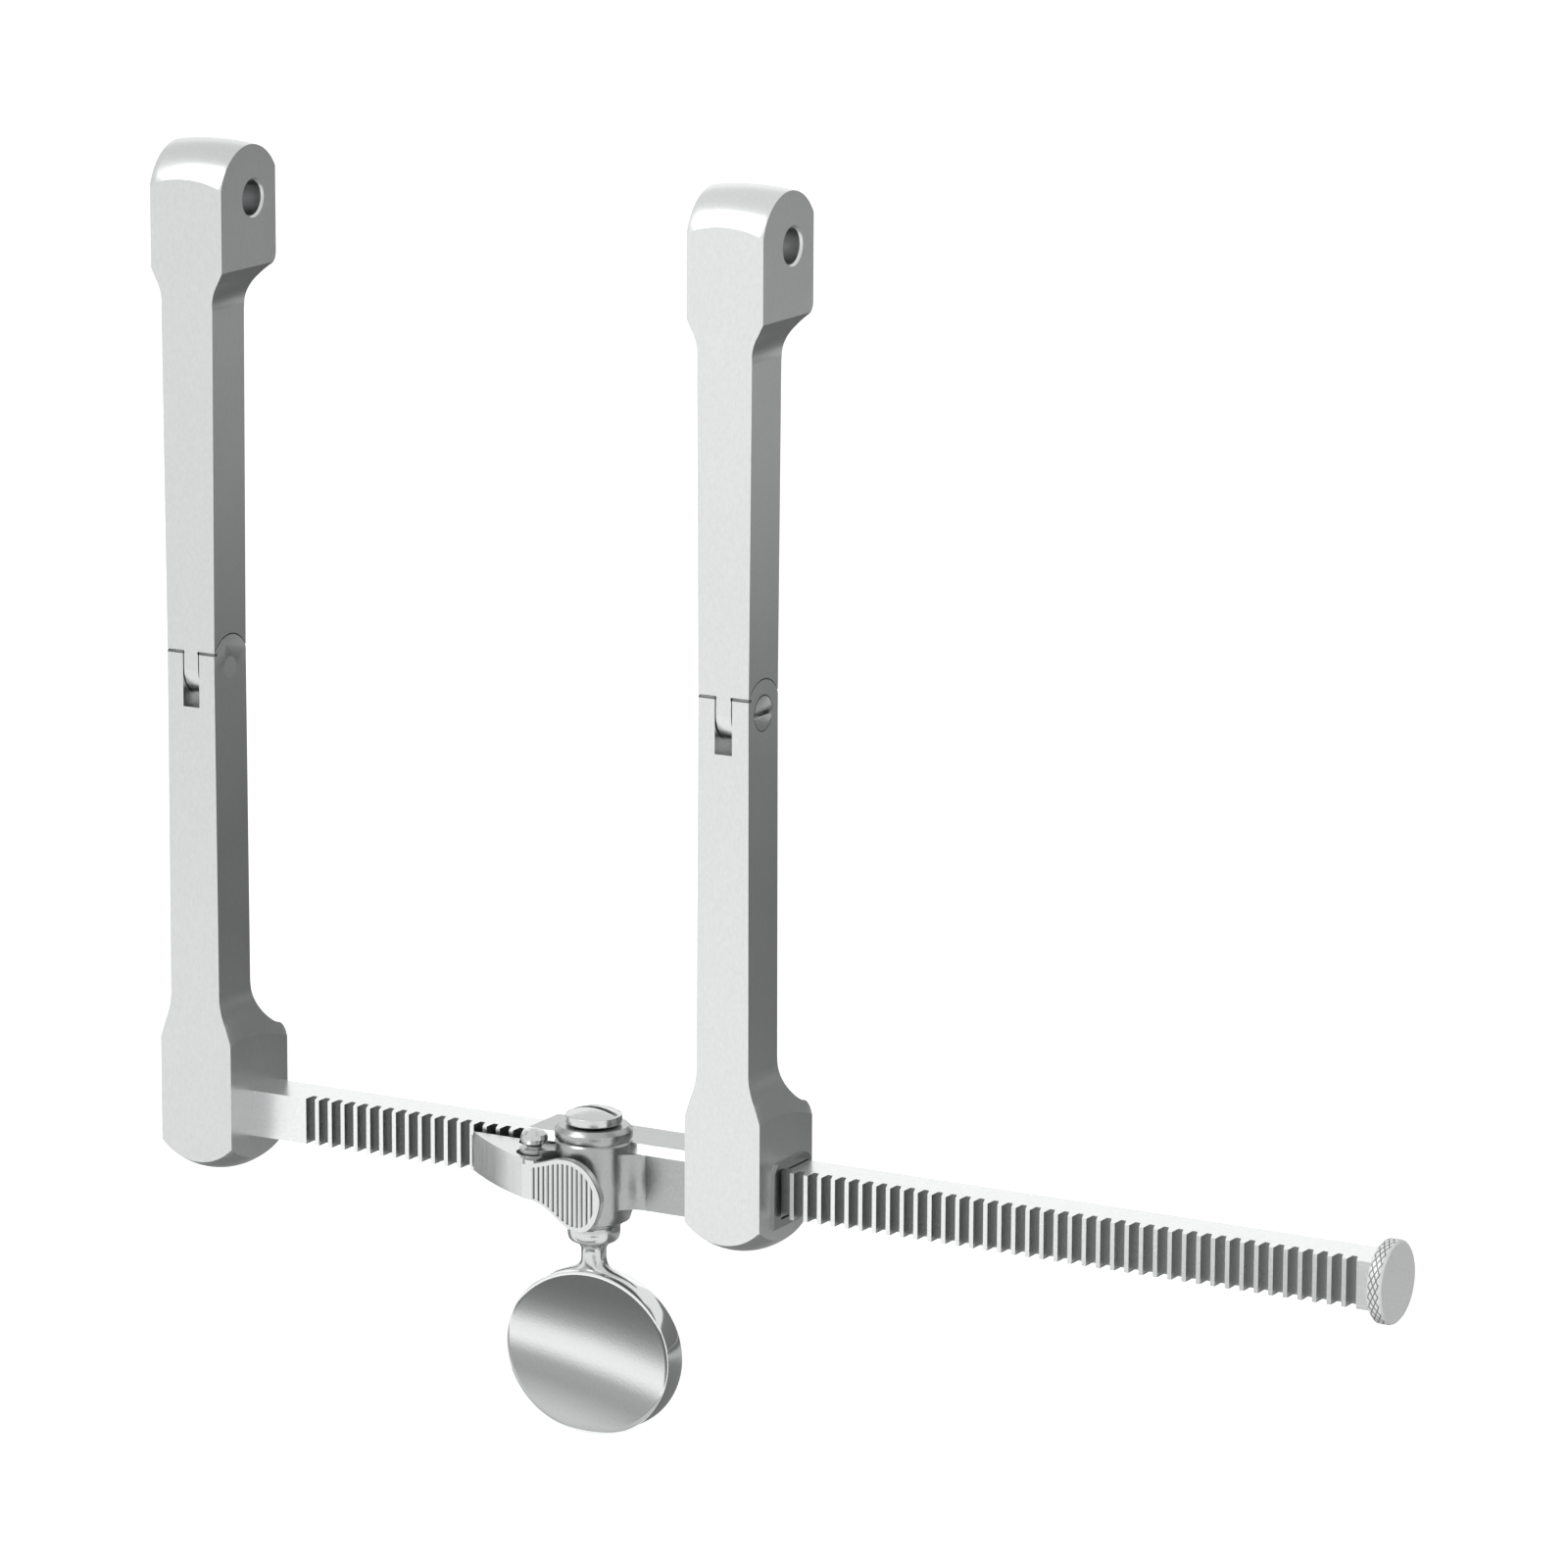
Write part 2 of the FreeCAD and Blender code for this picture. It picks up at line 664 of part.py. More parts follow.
def nose_wedge():
    """The pawl's nose seen from above: hollow front, flat back and a blade for the grooves."""
    low = nose_bottom
    p = pivot_x
    tip = nose_tip_x
    crest_clear = rack_front - nose_lift
    tip_front = rack_front - nose_tip_t
    fall = pad_front - tip_front
    bend = [(-10.3, 0.21), (-8.0, 0.403), (-5.7, 0.58), (-3.2, 0.751), (-0.9, 0.89)]
    front_edge = [V(tip, tip_front, low)]
    front_edge += [V(p + x, tip_front + fall * share, low) for x, share in bend]
    front_edge.append(V(p + 1.1, pad_front, low))
    curve = Part.BSplineCurve()
    curve.interpolate(front_edge)
    points = [(p + 1.1, pad_front), (p + 2.3, pad_front), (p + 2.3, pad_front + pad_t), (p + 2.1, -1.5)]
    points += [(p + 1.9, pivot_y + 0.5), (p, pivot_y + eye_r), (p - 1.6, pivot_y + 1.6)]
    points += [(p - 4.0, nose_back - 1.8), (p - 4.9, nose_back), (tip + 0.85, nose_back)]
    points += [(tip + 0.15, crest_clear), (tip, crest_clear), (tip, tip_front)]
    edges = [curve.toShape()]
    for a, b in zip(points, points[1:]):
        edges.append(Part.makeLine(V(a[0], a[1], low), V(b[0], b[1], low)))
    wedge = Part.Face(Part.Wire(edges)).extrude(V(0, 0, nose_top - low))
    wedge = wedge.cut(cuboid(tip - 1, tip + 1, nose_back, rack_front, tooth_top, nose_top))
    return wedge.cut(cuboid(tip - 1, tip + 1, nose_back, rack_front, nose_bottom, tooth_bottom))


def lug_notch(low, high):
    wide = lug_r + pawl_swing_gap
    ring = rod_z(wide, low, high, pivot_x, pivot_y)
    return ring.fuse(bar_to_barrel(wide, low, high))


def pawl_lever():
    eye = rod_z(eye_r, nose_bottom, nose_top, pivot_x, pivot_y)
    lever = nose_wedge().fuse([eye, pad_plate(1.0, pad_front, pad_t)]).removeSplitter()
    lever = lever.cut(lug_notch(upper_lug[0] - lug_gap, nose_top + 1))
    lever = lever.cut(lug_notch(nose_bottom - 1, lower_lug[1] + lug_gap))
    lever = lever.cut(rod_z(pawl_pin_r + run_gap, nose_bottom, nose_top, pivot_x, pivot_y))
    pocket_y = pad_front + pad_t - pad_pocket_deep
    pocket = Part.makeCylinder(spring_pocket_r, pad_pocket_deep, V(spring_x, pocket_y, spring_z), V(0, 1, 0))
    lever = lever.cut(pocket)
    return lever.cut(serrations())


def pawl_screw():
    r = ball_r
    h = ball_half_h
    mid = upper_lug[1] + h
    outline = []
    for i in range(ball_steps + 1):
        turn = math.pi * (i / ball_steps - 0.5) * 0.88
        outline.append((r * math.cos(turn), mid + h * math.sin(turn)))
    outline.insert(0, (0, outline[0][1]))
    outline.append((0, outline[-1][1]))
    ball = turned(outline, pivot_x, pivot_y)
    return ball.fuse(rod_z(pawl_pin_r, lower_lug[0], mid, pivot_x, pivot_y))


def pawl_spring():
    pad_floor = pad_front + pad_t - pad_pocket_deep
    start = pad_floor + wire_r + 0.02
    length = spring_pocket_end - wire_r - 0.02 - start
    helix = Part.makeHelix(length / coil_turns, length, coil_r)
    corners = []
    for i in range(wire_sides + 1):
        turn = 2 * math.pi * i / wire_sides
        corners.append(V(coil_r + wire_r * math.cos(turn), 0, wire_r * math.sin(turn)))
    profile = Part.makePolygon(corners)
    coil = Part.Wire(helix.Edges).makePipeShell([profile], True, True)
    coil.rotate(V(0, 0, 0), V(1, 0, 0), -90)
    coil.translate(V(spring_x, start, spring_z))
    return coil


def end_knob():
    r = knob_r
    y = rack_mid_y
    left = knob_in
    right = knob_out
    points = [(left, y, 0), (left, y, r - knob_soft), (left + knob_soft, y, r)]
    points += [(right - knob_soft, y, r), (right, y, r - knob_soft), (right, y, 0)]
    edges = [Part.makeLine(V(*points[i]), V(*points[(i + 1) % 6])) for i in range(6)]
    disc = Part.Face(Part.Wire(edges)).revolve(V(0, y, 0), V(1, 0, 0), 360)
    return disc.cut(knob_stud())


def knob_stud():
    return rod_x(stud_r - run_gap, rack_end - stud_l + 0.3, knob_in + knob_t / 2, rack_mid_y, 0)


def at_sliding_arm(shape):
    shape.translate(V(arm_spacing, 0, 0))
    return shape


os.makedirs("parts", exist_ok=True)
save("rack_bar", rack_bar())
save("rack_dowel", rack_dowel())
save("fixed_arm_lower", fixed_lower())
save("fixed_hinge_rivet", hinge_rivet(fixed_hinge_z))
save("fixed_arm_upper", upper_arm(fixed_hinge_z))
save("fixed_socket_ring", socket_ring())
save("rack_sleeve", rack_sleeve())
save("sleeve_dowel", sleeve_dowel())
save("sliding_arm_lower", sliding_lower())
save("sliding_hinge_screw", at_sliding_arm(hinge_screw(sliding_hinge_z)))
save("sliding_arm_upper", at_sliding_arm(upper_arm(sliding_hinge_z)))
save("sliding_socket_ring", at_sliding_arm(socket_ring()))
save("pinion_shaft", pinion_shaft())
save("thumb_key", thumb_key())
save("cap_screw", cap_screw())
save("pawl_lever", pawl_lever())
save("pawl_screw", pawl_screw())
save("pawl_spring", pawl_spring())
save("end_knob", end_knob())
save("knob_stud", knob_stud())
print("origin shift", origin)
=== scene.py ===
import bpy
import math
from mathutils import Matrix, Vector


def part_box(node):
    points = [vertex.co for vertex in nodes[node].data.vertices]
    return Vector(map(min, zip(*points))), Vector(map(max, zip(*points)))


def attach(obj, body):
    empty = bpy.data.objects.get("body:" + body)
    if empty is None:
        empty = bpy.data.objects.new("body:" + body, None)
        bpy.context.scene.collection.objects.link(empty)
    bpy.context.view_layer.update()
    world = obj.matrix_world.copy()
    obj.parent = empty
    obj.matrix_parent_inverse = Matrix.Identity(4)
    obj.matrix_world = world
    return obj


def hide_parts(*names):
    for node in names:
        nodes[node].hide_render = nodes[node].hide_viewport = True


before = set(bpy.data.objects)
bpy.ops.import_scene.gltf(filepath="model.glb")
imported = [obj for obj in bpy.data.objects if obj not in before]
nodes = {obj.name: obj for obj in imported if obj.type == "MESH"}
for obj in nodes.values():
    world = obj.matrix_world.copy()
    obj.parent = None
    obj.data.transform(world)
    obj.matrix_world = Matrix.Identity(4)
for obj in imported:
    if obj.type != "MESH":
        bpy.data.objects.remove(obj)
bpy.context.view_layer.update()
print("retractor frame loaded:", len(nodes), "nodes")


def deselectAll():
    if bpy.context.object and bpy.context.object.mode != "OBJECT":
        bpy.ops.object.mode_set(mode="OBJECT")
    bpy.ops.object.select_all(action="DESELECT")


def mathStep(tree, operation, *values):
    step = tree.nodes.new("ShaderNodeMath")
    step.operation = operation
    for i, value in enumerate(values):
        if hasattr(value, "is_linked"):
            tree.links.new(value, step.inputs[i])
        else:
            step.inputs[i].default_value = value
    return step.outputs[0]


def rangeStep(tree, value, low, high):
    span = tree.nodes.new("ShaderNodeMapRange")
    span.inputs["From Min"].default_value = low
    span.inputs["From Max"].default_value = high
    tree.links.new(value, span.inputs["Value"])
    return span.outputs["Result"]


# camera, at the photograph's angle
cameraLook = {
    "spot": (0.472433, -0.844317, 0.306885),
    "azimuth": 29.051,
    "elevation": 12.69,
    "roll": 0.277,
    "lens": 179.35,
    "sensor": 36.0,
    "clip": (0.05, 20),
}


def makeCamera():
    a = math.radians(cameraLook["azimuth"])
    e = math.radians(cameraLook["elevation"])
    r = math.radians(cameraLook["roll"])
    back = Vector((math.sin(a) * math.cos(e), -math.cos(a) * math.cos(e), math.sin(e)))
    right = Vector((math.cos(a), math.sin(a), 0))
    up = back.cross(right)
    x = right * math.cos(r) + up * math.sin(r)
    y = up * math.cos(r) - right * math.sin(r)
    turn = Matrix((x, y, back)).transposed().to_4x4()
    data = bpy.data.cameras.new("photoCamera")
    data.lens = cameraLook["lens"]
    data.sensor_width = cameraLook["sensor"]
    data.clip_start, data.clip_end = cameraLook["clip"]
    camera = bpy.data.objects.new("photoCamera", data)
    bpy.context.scene.collection.objects.link(camera)
    camera.matrix_world = Matrix.Translation(cameraLook["spot"]) @ turn
    bpy.context.scene.camera = camera


makeCamera()
print("camera placed")

# studio: white surround, pale floor, one soft lamp, and grey cards seen only in reflections
studioLook = {
    "surround": 1.0,
    "fill": 0.5,
    "floorSize": 6.0,
    "floorColor": (0.82, 0.82, 0.82, 1),
    "floorGlow": 0.66,
    "lampPower": 5.0,
    "lampSize": 0.6,
    "lampSpot": (-0.55, -0.75, 0.95),
    "lampAim": (0, 0, 0.08),
}

# the cards: middle, width and height, facing, way the grey runs, where it begins and ends, stops
onFloor = (0, 0, 1)
cardLook = {
    "backCloth": {
        "spot": (0.10, 0.455, 0.0002), "size": (1.4, 0.91), "facing": onFloor,
        "along": (0, 1, 0), "span": (0, 0.91),
        "greys": (
            (0, 0.2), (0.03, 0.28), (0.055, 0.55), (0.09, 0.5), (0.13, 0.22), (0.3, 0.15),
            (0.5, 0.22), (0.6, 0.55), (0.72, 0.62), (1, 0.4),
        ),
    },
    "backWall": {
        "spot": (0.62, 0.95, 0.26), "size": (1.3, 0.52), "facing": (-0.48, -0.85, 0),
        "along": (0, 0, 1), "span": (0, 0.5), "greys": ((0, 0.2), (1, 0.24)),
    },
    "skyCard": {
        "spot": (-0.62, 1.05, 0.5), "size": (1.2, 0.7), "facing": (0.48, -0.85, -0.2),
        "along": (0, 0, 1), "span": (0.1, 0.8), "greys": ((0, 1.1), (1, 1.35)),
    },
    "frontCloth": {
        "spot": (-0.3, -0.65, 0.0012), "size": (1.0, 0.7), "facing": onFloor,
        "along": (0, -1, 0), "span": (0.3, 0.7), "greys": ((0, 0.95), (1, 1.5)),
    },
    "edgeCard": {
        "spot": (0.38, -0.205, 0.0003), "size": (0.6, 0.35), "facing": onFloor,
        "along": (1, 0, 0), "span": (0, 0.7), "greys": ((0, 1.2), (1, 1.2)),
    },
    "keyFloor": {
        "spot": (-0.0306, -0.0098, 0.0003), "size": (0.036, 0.0112), "facing": onFloor,
        "along": (0, 1, 0), "span": (-0.0154, -0.0042), "greys": ((0, 0.75), (1, 0.6)),
    },
    "keyCard": {
        "spot": (-0.0306, -0.0155, 0.0072), "size": (0.036, 0.0142), "facing": (0, 1, 0),
        "along": (0.26, 0, 1), "span": (-0.0075, 0.0049),
        "greys": (
            (0, 0.75), (0.2, 0.45), (0.32, 0.5), (0.42, 1.2), (0.52, 1.1),
            (0.62, 0.5), (0.72, 0.28), (0.86, 0.2), (1, 0.2),
        ),
    },
    "neckPatch": {
        "spot": (0.030, -0.098, 0.0014), "size": (0.06, 0.07), "facing": onFloor,
        "along": (1, 0, 0), "span": (0, 0.06), "greys": ((0, 0.5), (1, 0.35)),
    },
}


def seenOrMirrored(tree):
    path = tree.nodes.new("ShaderNodeLightPath")
    seen = mathStep(tree, "MAXIMUM", path.outputs["Is Camera Ray"], path.outputs["Is Glossy Ray"])
    return mathStep(tree, "MAXIMUM", seen, path.outputs["Is Transmission Ray"])


def makeWorld():
    world = bpy.data.worlds.new("whiteSurround")
    bpy.context.scene.world = world
    world.use_nodes = True
    tree = world.node_tree
    tree.nodes.clear()
    out = tree.nodes.new("ShaderNodeOutputWorld")
    mix = tree.nodes.new("ShaderNodeMixShader")
    fill = tree.nodes.new("ShaderNodeBackground")
    fill.inputs["Color"].default_value = (1, 1, 1, 1)
    fill.inputs["Strength"].default_value = studioLook["fill"]
    white = tree.nodes.new("ShaderNodeBackground")
    white.inputs["Color"].default_value = (1, 1, 1, 1)
    white.inputs["Strength"].default_value = studioLook["surround"]
    tree.links.new(seenOrMirrored(tree), mix.inputs[0])
    tree.links.new(fill.outputs[0], mix.inputs[1])
    tree.links.new(white.outputs[0], mix.inputs[2])
    tree.links.new(mix.outputs[0], out.inputs[0])


def makeFloor():
    deselectAll()
    bpy.ops.mesh.primitive_plane_add(size=studioLook["floorSize"], location=(0, 0, 0))
    floor = bpy.context.object
    floor.name = "floor"
    floor.data.name = "floor"
    material = bpy.data.materials.new("palePaper")
    material.use_nodes = True
    tree = material.node_tree
    tree.nodes.clear()
    out = tree.nodes.new("ShaderNodeOutputMaterial")
    paper = tree.nodes.new("ShaderNodeBsdfDiffuse")
    paper.inputs["Color"].default_value = studioLook["floorColor"]
    glow = tree.nodes.new("ShaderNodeEmission")
    strength = mathStep(tree, "MULTIPLY", seenOrMirrored(tree), studioLook["floorGlow"])
    tree.links.new(strength, glow.inputs["Strength"])
    add = tree.nodes.new("ShaderNodeAddShader")
    tree.links.new(paper.outputs[0], add.inputs[0])
    tree.links.new(glow.outputs[0], add.inputs[1])
    tree.links.new(add.outputs[0], out.inputs[0])
    floor.data.materials.append(material)


def makeLamp():
    data = bpy.data.lights.new("keyLamp", "AREA")
    data.energy = studioLook["lampPower"]
    data.size = studioLook["lampSize"]
    lamp = bpy.data.objects.new("keyLamp", data)
    bpy.context.scene.collection.objects.link(lamp)
    spot = Vector(studioLook["lampSpot"])
    lamp.location = spot
    lamp.rotation_mode = "QUATERNION"
    lamp.rotation_quaternion = (spot - Vector(studioLook["lampAim"])).to_track_quat("Z", "Y")


def makeCard(name, look):
    deselectAll()
    bpy.ops.mesh.primitive_plane_add(size=1, location=(0, 0, 0))
    card = bpy.context.object
    card.name = name
    card.data.name = name
    turn = Matrix.Identity(4)
    if look["facing"] != onFloor:
        turn = Vector(look["facing"]).to_track_quat("Z", "Y").to_matrix().to_4x4()
    size = Matrix.Diagonal((*look["size"], 1, 1))
    card.data.transform(Matrix.Translation(look["spot"]) @ turn @ size)
    material = bpy.data.materials.new(name + "Grey")
    material.use_nodes = True
    tree = material.node_tree
    tree.nodes.clear()
    out = tree.nodes.new("ShaderNodeOutputMaterial")
    grey = tree.nodes.new("ShaderNodeEmission")
    place = tree.nodes.new("ShaderNodeTexCoord")
    along = tree.nodes.new("ShaderNodeVectorMath")
    along.operation = "DOT_PRODUCT"
    along.inputs[1].default_value = look["along"]
    ramp = tree.nodes.new("ShaderNodeValToRGB")
    stops = ramp.color_ramp.elements
    brightest = max(1, max(level for where, level in look["greys"]))
    for where, level in look["greys"][1:-1]:
        stops.new(where)
    for stop, (where, level) in zip(stops, look["greys"]):
        share = level / brightest
        stop.position = where
        stop.color = (share, share, share, 1)
    grey.inputs["Strength"].default_value = brightest
    tree.links.new(place.outputs["Object"], along.inputs[0])
    tree.links.new(rangeStep(tree, along.outputs["Value"], *look["span"]), ramp.inputs["Fac"])
    tree.links.new(ramp.outputs["Color"], grey.inputs["Color"])
    tree.links.new(grey.outputs[0], out.inputs[0])
    card.data.materials.append(material)
    card.visible_camera = False
    card.visible_diffuse = False
    card.visible_shadow = False
    card.visible_transmission = False


makeWorld()
makeFloor()
makeLamp()
for name, look in cardLook.items():
    makeCard(name, look)
print("studio built")

# steel finishes
steelLook = {
    "arm": {"color": (0.64, 0.655, 0.652), "rough": 0.30, "grain": 0.03},
    # the left arm's colour is the arm steel's made darker: painted shade on the left arm
    "leftArm": {"color": (0.57, 0.584, 0.581), "rough": 0.30, "grain": 0.03},
    "rack": {"color": (0.73, 0.745, 0.742), "rough": 0.27, "grain": 0.04},
    "fitting": {"color": (0.37, 0.38, 0.378), "rough": 0.25, "grain": 0.05},
    "turned": {"color": (0.58, 0.592, 0.59), "rough": 0.19, "grain": 0.03},
    "screw": {"color": (0.75, 0.765, 0.762), "rough": 0.3, "grain": 0.04},
    "knob": {"color": (0.92, 0.93, 0.928), "rough": 0.5, "grain": 0.05, "metal": 0.3},
    "polished": {"color": (0.72, 0.735, 0.732), "rough": 0.08, "grain": 0.015},
    "spring": {"color": (0.42, 0.44, 0.46), "rough": 0.28, "grain": 0.04},
}

# what every finish shares: fine noise for tone and bump, slow noise for roughness
grainLook = {
    "fine": 2600,
    "fineDetail": 4,
    "fineRough": 0.7,
    "slow": 70,
    "slowDetail": 3,
    "stops": (0.32, 0.68),
    "darker": 1.6,
    "roughSpan": (0.82, 1.18),
    "bump": 2.4,
    "bumpDeep": 0.0001,
}

# painted shade in grooves and seams: the rack's grooves, the pawl pad's groove and the arms' hinge
# seams are darkened where shade falls; depth along Y where the dark begins and is full, reach behind
# that, middle and half height of the band, and a stretch of X that is kept clear
hollowShadeLook = {
    "rack": {
        "depth": (0.00045, 0.00120), "reach": 0.0012, "middle": 0.0352, "half": 0.00306, "dark": 0.48,
    },
    "pad": {
        "depth": (-0.00915, -0.00898), "reach": 0.00006, "middle": 0.0340, "half": 0.0060, "dark": 0.30,
    },
    "leftSeam": {
        "depth": (-0.0060, -0.0059), "reach": 0.0017, "middle": 0.09818, "half": 0.00017, "dark": 0.2,
        "clear": (-0.08295, 0.0010),
    },
    "rightSeam": {
        "depth": (-0.0060, -0.0059), "reach": 0.0017, "middle": 0.10068, "half": 0.00017, "dark": 0.2,
        "clear": (-0.00265, 0.0010),
    },
}

# painted shade drawn round an axis along X: dark crossing lines in a knurled rim's valleys, or dark
# shade in the gap round a screw's edge and in its slot
ringShadeLook = {
    "knurl": {
        "middle": (0.08675, 0.003805, 0.0352), "from": 0.00529, "steps": 48, "row": 0.0003375,
        "line": (0.62, 0.9), "dark": 0.2,
    },
    "screw": {"middle": (0, -0.00111, 0.0985), "from": 0.00222, "slot": 0.0003, "dark": 0.3},
}


def darkened(tree, colour, share, dark):
    mix = tree.nodes.new("ShaderNodeMix")
    mix.data_type = "RGBA"
    mix.blend_type = "MULTIPLY"
    mix.inputs["B"].default_value = (dark, dark, dark, 1)
    tree.links.new(share, mix.inputs["Factor"])
    tree.links.new(colour, mix.inputs["A"])
    return mix.outputs["Result"]


# painted shade: the colour is multiplied darker inside the band, as shade falling in grooves and seams
def paintShadeInHollows(tree, place, colour, look):
    axes = tree.nodes.new("ShaderNodeSeparateXYZ")
    tree.links.new(place.outputs["Object"], axes.inputs["Vector"])
    start, end = look["depth"]
    deep = rangeStep(tree, axes.outputs["Y"], start, end)
    level = mathStep(tree, "COMPARE", axes.outputs["Z"], look["middle"], look["half"])
    ends = mathStep(tree, "LESS_THAN", axes.outputs["Y"], end + look["reach"])
    share = mathStep(tree, "MULTIPLY", deep, mathStep(tree, "MULTIPLY", level, ends))
    if "clear" in look:
        near = mathStep(tree, "COMPARE", axes.outputs["X"], *look["clear"])
        share = mathStep(tree, "MAXIMUM", mathStep(tree, "SUBTRACT", share, near), 0.0)
    return darkened(tree, colour, share, look["dark"])


# painted shade: darkens the knurl's valleys, or the ring at a screw's edge and its slot
def paintShadeAround(tree, place, colour, look):
    away = tree.nodes.new("ShaderNodeVectorMath")
    away.operation = "SUBTRACT"
    away.inputs[1].default_value = look["middle"]
    tree.links.new(place.outputs["Object"], away.inputs[0])
    axes = tree.nodes.new("ShaderNodeSeparateXYZ")
    tree.links.new(away.outputs[0], axes.inputs[0])
    y = axes.outputs["Y"]
    z = axes.outputs["Z"]
    squares = mathStep(tree, "ADD", mathStep(tree, "POWER", y, 2.0), mathStep(tree, "POWER", z, 2.0))
    edge = mathStep(tree, "GREATER_THAN", mathStep(tree, "SQRT", squares), look["from"])
    if "slot" in look:
        slot = mathStep(tree, "COMPARE", z, 0.0, look["slot"])
        return darkened(tree, colour, mathStep(tree, "MAXIMUM", edge, slot), look["dark"])
    angle = mathStep(tree, "ARCTAN2", z, y)
    turn = mathStep(tree, "MULTIPLY", angle, look["steps"] / (2 * math.pi))
    row = mathStep(tree, "DIVIDE", axes.outputs["X"], look["row"])
    one = mathStep(tree, "PINGPONG", mathStep(tree, "ADD", turn, row), 1.0)
    two = mathStep(tree, "PINGPONG", mathStep(tree, "SUBTRACT", turn, row), 1.0)
    line = rangeStep(tree, mathStep(tree, "MAXIMUM", one, two), *look["line"])
    return darkened(tree, colour, mathStep(tree, "MULTIPLY", line, edge), look["dark"])


def steel(name, look, stretch, hollow=None, ring=None):
    material = bpy.data.materials.new(name)
    material.use_nodes = True
    tree = material.node_tree
    shader = tree.nodes["Principled BSDF"]
    shader.inputs["Metallic"].default_value = look.get("metal", 1.0)
    place = tree.nodes.new("ShaderNodeTexCoord")
    along = tree.nodes.new("ShaderNodeMapping")
    along.inputs["Scale"].default_value = stretch
    tree.links.new(place.outputs["Object"], along.inputs["Vector"])
    grain = tree.nodes.new("ShaderNodeTexNoise")
    grain.inputs["Scale"].default_value = grainLook["fine"]
    grain.inputs["Detail"].default_value = grainLook["fineDetail"]
    grain.inputs["Roughness"].default_value = grainLook["fineRough"]
    tree.links.new(along.outputs["Vector"], grain.inputs["Vector"])
    cloud = tree.nodes.new("ShaderNodeTexNoise")
    cloud.inputs["Scale"].default_value = grainLook["slow"]
    cloud.inputs["Detail"].default_value = grainLook["slowDetail"]
    tree.links.new(place.outputs["Object"], cloud.inputs["Vector"])
    tone = tree.nodes.new("ShaderNodeValToRGB")
    dark = [c * (1 - look["grain"] * grainLook["darker"]) for c in look["color"]]
    light = [min(1, c * (1 + look["grain"])) for c in look["color"]]
    for stop, where, shade in zip(tone.color_ramp.elements, grainLook["stops"], (dark, light)):
        stop.position = where
        stop.color = (*shade, 1)
    tree.links.new(grain.outputs["Fac"], tone.inputs["Fac"])
    colour = tone.outputs["Color"]
    # painted shade in hollows
    if hollow:
        colour = paintShadeInHollows(tree, place, colour, hollow)
    # painted shade round rings
    if ring:
        colour = paintShadeAround(tree, place, colour, ring)
    tree.links.new(colour, shader.inputs["Base Color"])
    rough = tree.nodes.new("ShaderNodeMapRange")
    smoothest, roughest = grainLook["roughSpan"]
    rough.inputs["To Min"].default_value = look["rough"] * smoothest
    rough.inputs["To Max"].default_value = look["rough"] * roughest
    tree.links.new(cloud.outputs["Fac"], rough.inputs["Value"])
    tree.links.new(rough.outputs["Result"], shader.inputs["Roughness"])
    bump = tree.nodes.new("ShaderNodeBump")
    bump.inputs["Strength"].default_value = look["grain"] * grainLook["bump"]
    bump.inputs["Distance"].default_value = grainLook["bumpDeep"]
    tree.links.new(grain.outputs["Fac"], bump.inputs["Height"])
    tree.links.new(bump.outputs["Normal"], shader.inputs["Normal"])
    return material


# the grain is drawn out along the arms and along the rack
evenGrain = (1, 1, 1)
armGrain = (1, 1, 0.55)
rackGrain = (0.55, 1, 1)
armSteel = steel("satinArmSteel", steelLook["arm"], armGrain)
# painted shade: the left arm's steel is the arm's made darker, with painted shade in its hinge seam too
leftArmShadedSteel = steel("leftArmShadedSteel", steelLook["leftArm"], armGrain, hollowShadeLook["leftSeam"])
# painted shade in the right arm's hinge seam, the rack's grooves and the pawl pad's groove
rightArmSteel = steel("rightArmSteel", steelLook["arm"], armGrain, hollowShadeLook["rightSeam"])
rackSteel = steel("satinRackSteel", steelLook["rack"], rackGrain, hollowShadeLook["rack"])
pawlSteel = steel("satinPawlSteel", steelLook["arm"], evenGrain, hollowShadeLook["pad"])
fittingSteel = steel("satinFittingSteel", steelLook["fitting"], evenGrain)
turnedSteel = steel("turnedSteel", steelLook["turned"], evenGrain)
# painted shade: dark knurl valleys on the knob, dark edge gap and slot on the hinge screw
knobSteel = steel("knobSteel", steelLook["knob"], evenGrain, None, ringShadeLook["knurl"])
screwSteel = steel("screwSteel", steelLook["screw"], evenGrain, None, ringShadeLook["screw"])
polishedSteel = steel("polishedSteel", steelLook["polished"], evenGrain)
springSteel = steel("springSteel", steelLook["spring"], evenGrain)
finishOf = {
    "fixed_arm_upper": leftArmShadedSteel,
    "fixed_arm_lower": leftArmShadedSteel,
    "sliding_arm_upper": rightArmSteel,
    "sliding_arm_lower": rightArmSteel,
    "rack_bar": rackSteel,
    "rack_sleeve": fittingSteel,
    "pawl_lever": pawlSteel,
    "pinion_shaft": fittingSteel,
    "thumb_key": polishedSteel,
    "cap_screw": turnedSteel,
    "pawl_screw": turnedSteel,
    "end_knob": knobSteel,
    "sliding_hinge_screw": screwSteel,
    "pawl_spring": springSteel,
    "fixed_socket_ring": springSteel,
    "sliding_socket_ring": springSteel,
}


def dressNode(name, node):
    material = finishOf.get(name, armSteel)
    if node.material_slots:
        for slot in node.material_slots:
            slot.link = "OBJECT"
            slot.material = material
    else:
        node.data.materials.append(material)


for name, node in nodes.items():
    dressNode(name, node)
print("steel finishes given to", len(nodes), "nodes")


def onlyIn(piece):
    deselectAll()
    bpy.context.view_layer.objects.active = piece
    piece.select_set(True)


